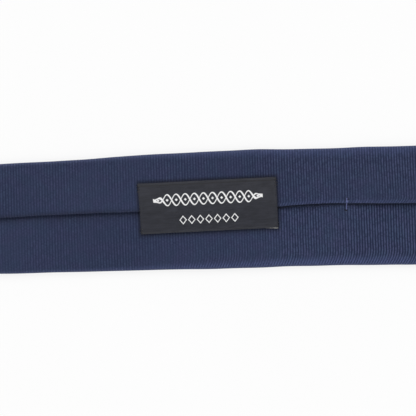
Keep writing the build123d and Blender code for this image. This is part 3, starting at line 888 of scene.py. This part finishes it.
blade_silk = silk_piece("blade_silk", BLADE_ROWS, SILK, low_seam=BLADE_SEAM_X, tip=BLADE_TIP_X)
neck_silk = silk_piece("neck_silk", NECK_ROWS, SILK, low_seam=TAIL_SEAM_X, high_seam=BLADE_SEAM_X)
tail_silk = silk_piece("tail_silk", TAIL_ROWS, SILK, high_seam=TAIL_SEAM_X, tip=TAIL_TIP_X)
hand_over(blade_silk, "blade_fold", ("blade_silk_lower", "blade_silk_upper"), "silk")
hand_over(neck_silk, "neck_fold", ("neck_silk_blade_side", "neck_silk_tail_side"), "silk")
hand_over(tail_silk, "tail_fold", ("tail_silk_upper", "tail_silk_lower"), "silk")

# ---- inside the tie

INNER_END = 2.6  # the inner layers stop this far short of each tip


def interlining_z(x, y):
    """Height of the interlining, following the soft ripple of the silk over it."""
    return 0.80 + 0.04 * waves(x, y, 40, 31)


def tipping_z(x, y):
    """Height of the lining: close under the flaps, rippling a little in the open middle."""
    return 1.62 + 0.1 * waves(x, y, 26, 32) * smooth(opening(x) * 2)


KINDS = {  # of inner layer: height, distance inside the edges, thickness, looks, slot, and what it lies on
    "interlining": (interlining_z, 1.1, 0.75, WOOL, "interlining", "silk"),
    "lining": (tipping_z, 1.5, 0.2, LINING, "tipping", "interlining"),
}
INNER_LAYERS = (  # part of the tie, kind, fold or body that moves it, CAD nodes, rows
    ("blade", "interlining", "blade_fold", ("interlining_blade", "interlining_upper_blade"), stations(
        BLADE_SEAM_X, (BLADE_FOLD_X - 6, 8), (BLADE_FOLD_X + 6, 0.6), (BLADE_TIP_X - 30, 8),
        (BLADE_TIP_X - INNER_END, 1.2))),
    ("neck", "interlining", "neck_fold", ("interlining_neck",), stations(
        TAIL_SEAM_X, (NECK_FOLD_X - 5, 8), (NECK_FOLD_X + 5, 0.5), (BLADE_SEAM_X, 8))),
    ("tail", "interlining", "tail_fold", ("interlining_tail",), stations(
        TAIL_TIP_X + INNER_END, (TAIL_TIP_X + 20, 1.2), (TAIL_FOLD_X - 5, 8), (TAIL_FOLD_X + 5, 0.5),
        (TAIL_SEAM_X, 8))),
    ("blade", "lining", "blade_quarter", ("blade_tipping",), stations(
        BLADE_TIPPING_X, (BLADE_SHOULDER_X - 2, 1.6), (BLADE_TIP_X - INNER_END, 0.8))),
    ("tail", "lining", "tail_quarter", ("tail_tipping",), stations(
        TAIL_TIP_X + INNER_END, (TAIL_SHOULDER_X + 2, 0.8), (TAIL_TIPPING_X, 1.6))),
)


for part, kind, mover, nodes, rows in INNER_LAYERS:
    z_at, inset, thickness, material, slot, under = KINDS[kind]
    half = half_width(rows) - inset
    from_centre = np.clip(half, 0.25, None)[:, None] * np.linspace(-1, 1, 29)
    y = from_centre + centre_line(rows)[:, None]
    x = rows[:, None] + 0 * y
    points = stack(x, y, z_at(x, from_centre))
    layer = thick_sheet(f"{part}_{kind}", points, thickness, material, {"Cloth": stack(x, y)})
    hand_over(layer, mover, nodes, slot)
    length = float(rows[-1] - rows[0])
    mean_width = float(np.trapz(2 * half, rows)) / length

# ---- slip stitch, held between the flaps

SLIP_Y, SLIP_Z, SLIP_SWING, SLIP_PITCH, SLIP_RADIUS = 3.6, 2.3, 1.1, 9.0, 0.1
SLIPS = (
    ("blade_slip_stitch", "blade_fold", BLADE_SEAM_X + 0.5, BLADE_TACK[0] - 1,
     ("slip_stitch_blade", "slip_stitch_upper_blade")),
    ("neck_slip_stitch", "neck_fold", TAIL_SEAM_X + 0.5, BLADE_SEAM_X - 0.5, ("slip_stitch_neck",)),
    ("tail_slip_stitch", "tail_fold", TAIL_TACK[0] + 1, TAIL_SEAM_X - 0.5, ("slip_stitch_tail",)),
)
for name, joint, low, high, nodes in SLIPS:
    fold = fold_x(joint)
    rows = stations(low, (fold - 6, 1.5), (fold + 6, 0.6), (high, 1.5))
    zigzag = np.arcsin(np.sin(TURN * rows / SLIP_PITCH)) * 2 / math.pi
    path = stack(rows, SLIP_Y + SLIP_SWING * zigzag + centre_line(rows), SLIP_Z)
    hand_over(tube(name, path, SLIP_RADIUS, NAVY_THREAD, 6), joint, nodes, "seam_thread")

# ---- bar tacks

TACK_ENDS = 2.8, -3.0  # y of a bar tack's ends, from its middle
TACK_RADIUS, TACK_SPACING = 0.125, 0.17  # of its three strands
TACK_SINK = 0.55


def bar_tack(name, place, seed):
    """Three long stitches side by side over the folded edge, going into the cloth at both ends."""
    rng = np.random.default_rng(seed)
    paths = []
    for strand in range(3):
        x = place[0] + (strand - 1) * TACK_SPACING
        high_y, low_y = (place[1] + end + rng.uniform(-0.1, 0.1) + centre_line(place[0]) for end in TACK_ENDS)
        t = np.linspace(0, 1, 34)
        y = high_y + (low_y - high_y) * t
        lean = 0.12 * np.sin(math.pi * (t + 0.2 * strand)) + 0.1 * (t - 0.5)
        surface = flap_top(x + 0 * t, y)
        bridge = np.maximum(surface + 0.12, np.minimum(surface[0], surface[-1]))
        for _ in range(6):  # the thread is taut: it spans the hollows
            bridge[1:-1] = np.maximum(bridge[1:-1], (bridge[:-2] + bridge[2:]) / 2)
        paths.append(stack(x + lean, y, bridge - TACK_SINK * end_dips(t, 0.035)))
    return stitches(name, paths, TACK_RADIUS, LILAC_THREAD, 10)


hand_over(bar_tack("blade_tack", BLADE_TACK, 41), "blade_quarter", ["blade_bar_tack"], "tack_thread")
hand_over(bar_tack("tail_tack", TAIL_TACK, 42), "tail_quarter", ["tail_bar_tack"], "tack_thread")

# ---- keeper label

LABEL_FOLD = 0.17  # radius of the folded ends, mid-cloth
LABEL_BRIDGE_Z = 3.7  # height of its underside over the seam's step
LABEL_DOWN = (  # how its two long sides come down: side, amount, where it starts from the middle, over what
    (1, 0.68, 0.5, 13),
    (-1, 0.78, 1.5, 10),
)
LABEL_LEAN = 0.5  # how far the left end leans out at its upper corner
PEEK = 0.36  # how far the right end's turned cloth shows below the lower edge


def label_rest(x, y):
    """Height of the label's underside: it bridges the seam's step and comes down to the cloth each side."""
    across = label_coordinates(x, y)[1]
    over_step = LABEL_BRIDGE_Z + 0.02 * y - 0.0008 * (y - 4) ** 2
    down = sum(amount * smooth((side * across - start) / over) for side, amount, start, over in LABEL_DOWN)
    lifted_corner = 0.3 * bell(x, LABEL[0] + 33, 3) * bell(y, -11, 3)
    return over_step - down + 0.05 * waves(x, y, 24, 51) + lifted_corner


def label_slant(along, across):
    """How far the label leans out along itself, towards its upper left corner."""
    return LABEL_LEAN * smooth(-2 * along / LABEL_LENGTH) * smooth(2 * across / LABEL_HEIGHT)


def label_half(name, side):
    """One half of the label, from its long edge to its middle, with both ends folded under."""
    half = LABEL_LENGTH / 2
    turn = np.linspace(half - LABEL_TURN, half - LABEL_FOLD, 12)
    fold = np.linspace(-math.pi / 2, math.pi / 2, 7)[1:-1]
    flat = np.linspace(half - LABEL_FOLD, -half + LABEL_FOLD, 90)
    bulge = half - LABEL_FOLD + LABEL_FOLD * np.cos(fold)
    climb = LABEL_FOLD * (1 + np.sin(fold))
    along = np.concatenate([turn, bulge, flat, -bulge[::-1], -turn[::-1]])
    level = np.concatenate([0 * turn, climb, 0 * flat + 2 * LABEL_FOLD, climb[::-1], 0 * turn])[:, None]
    across = side * LABEL_HEIGHT / 2 * np.linspace(1, 0, 26)
    along_grid, across_grid = np.meshgrid(along, across, indexing="ij")
    under = 1 - level / (2 * LABEL_FOLD)
    peek = PEEK * under * smooth((along_grid - half + 7.2) / 7) * smooth(-across_grid / 9)
    x, y = label_place(along_grid - label_slant(along_grid, across_grid), across_grid - peek)
    z = label_rest(x, y) + LABEL_CLOTH / 2 + level
    uneven = 0.05 * waves(x, y, 15, 52) * np.abs(across_grid) / LABEL_HEIGHT
    return thick_sheet(name, stack(x, y + uneven, z), LABEL_CLOTH, LABEL_FACE,
                       {"Cloth": stack(along_grid, across_grid)}, side < 0, LABEL_BACK)


for name, side, node in (("label_upper_half", 1, "keeper_label"), ("label_lower_half", -1, "label_hems")):
    part = label_half(name, side)
    edge_x, edge_y = label_place(0, side * LABEL_HEIGHT / 2)
    edge_x * MM
    edge_y * MM
    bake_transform(part)
    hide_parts(node)

CORNER_STITCHES = {1: 3, -1: 2}  # how many at each upper corner, and at each lower one


def corner_tacks():
    """Black stitches over the label's ends near its corners."""
    paths = []
    t = np.linspace(0, 1, 12)
    for end in (-1, 1):
        for side, count in CORNER_STITCHES.items():
            for step in range(count):
                across = side * (LABEL_HEIGHT / 2 - 0.9 - 1.35 * step - 0.3 * t)
                along = end * (LABEL_LENGTH / 2 - 0.9 + 1.8 * t)
                x, y = label_place(along - label_slant(along, across), across)
                on_label = label_rest(x, y) + LABEL_CLOTH + 2 * LABEL_FOLD + 0.1
                on_tie = flap_top(x, y) + 0.02
                z = on_label + (on_tie - on_label) * smooth((t - 0.4) / 0.45) - 0.3 * end_dips(t, 0.06)
                paths.append(stack(x, y, z))
    return stitches("label_tacks", paths, 0.11, BLACK_THREAD, 8)


hand_over(corner_tacks(), "blade_quarter", ["label_corner_tacks"], "seam_thread")

# ---- care label

CARE_LENGTH, CARE_HEIGHT, CARE_CLOTH = 26.0, 13.0, 0.14
CARE_STITCHES, CARE_STITCH_INSET = 8, 1.5  # in a row at each end, this far in


def care_z(x, y):
    """Height of the care label's mid-cloth: highest over the seam, and down with the flap beyond it."""
    on_flap = (y - 3.6 + np.hypot(y - 3.6, 1.2)) / 2
    in_air = (1 - y + np.hypot(1 - y, 1)) / 2
    return 3.64 - 0.085 * on_flap - 0.03 * in_air + 0.03 * waves(x, y, 12, 61)


def care_rows():
    """A row of short stitches across each end of the care label."""
    paths = []
    t = np.linspace(0, 1, 8)
    for end in (-1, 1):
        for row in range(CARE_STITCHES):
            y = CARE_LABEL[1] - CARE_HEIGHT / 2 + (row + 0.2 + 0.6 * t) * CARE_HEIGHT / CARE_STITCHES
            x = CARE_LABEL[0] + end * (CARE_LENGTH / 2 - CARE_STITCH_INSET) + 0 * t
            paths.append(stack(x, y, care_z(x, y) + 0.12 - 0.16 * end_dips(t, 0.1)))
    return stitches("care_stitches", paths, 0.08, NAVY_THREAD, 6)


x, y = np.meshgrid(CARE_LABEL[0] + CARE_LENGTH * np.linspace(-0.5, 0.5, 40),
                   CARE_LABEL[1] + CARE_HEIGHT * np.linspace(-0.5, 0.5, 24), indexing="ij")
care = thick_sheet("care_tag", stack(x, y, care_z(x, y)), CARE_CLOTH, CARE, {"Cloth": stack(x, y)})
hand_over(care, "tail_quarter", ["care_label"], "care_cloth")
hand_over(care_rows(), "tail_quarter", ["care_label_stitches"], "seam_thread")

# ---- sheets, with their flat sizes

for piece, rows in ((blade_silk, BLADE_ROWS), (neck_silk, NECK_ROWS), (tail_silk, TAIL_ROWS)):
    run = arc_lengths(*wrap_section(rows))
    widths = run[:, -1] - run[:, 0]
    length = float(rows[-1] - rows[0])
    area = float(np.trapz(widths, rows))

# ---- floor, light and camera

bpy.ops.mesh.primitive_plane_add(size=14, location=(0, 0, -0.0001))
floor = bpy.context.object
floor.name = "table_top"
floor.data.materials.append(floor_material())

scene = bpy.context.scene


def softbox(name, energy, tilt, turn):
    """A soft distant light that leans by tilt and turn degrees from straight above."""
    light = bpy.data.objects.new(name, bpy.data.lights.new(name, "SUN"))
    light.data.energy = energy
    light.data.angle = math.radians(36)
    light.rotation_euler = (math.radians(tilt), math.radians(turn), 0)
    scene.collection.objects.link(light)


# Soft light all round, strongest near the horizon, like large low softboxes in a white room
n = Nodes("studio", bpy.data.worlds, "Background")
height = n.part(n.place("Generated"), 2)
n.feed((1, 1, 1, 1), n.shader.inputs["Color"])
n.feed(n.ramp(height, 0.0, 0.9, 1.1, 0.29), n.shader.inputs["Strength"])
scene.world = n.owner
scene.view_settings.view_transform = "Standard"
softbox("key", 1.6, -50, -6)
softbox("fill", 1.0, 50, 4)

VIEW_WIDTH = 195.5  # the width of the picture at the tie
VIEW_OFFSET = -0.22, -1.09  # the picture's middle, from the label's
BACK_TOP = 3  # the camera's distance is measured from this height
LENS, SENSOR = 85.0, 36.0
PICTURE_TILT = math.radians(2.0)
camera = bpy.data.objects.new("camera", bpy.data.cameras.new("camera"))
camera.data.lens = LENS
camera.data.sensor_width = SENSOR
camera.data.clip_start = 0.01
camera.location = ((LABEL[0] + VIEW_OFFSET[0]) * MM, (LABEL[1] + VIEW_OFFSET[1]) * MM,
                   (VIEW_WIDTH * LENS / SENSOR + BACK_TOP) * MM)
camera.rotation_euler = (0, 0, -PICTURE_TILT)
scene.collection.objects.link(camera)
scene.camera = camera

bpy.context.view_layer.update()
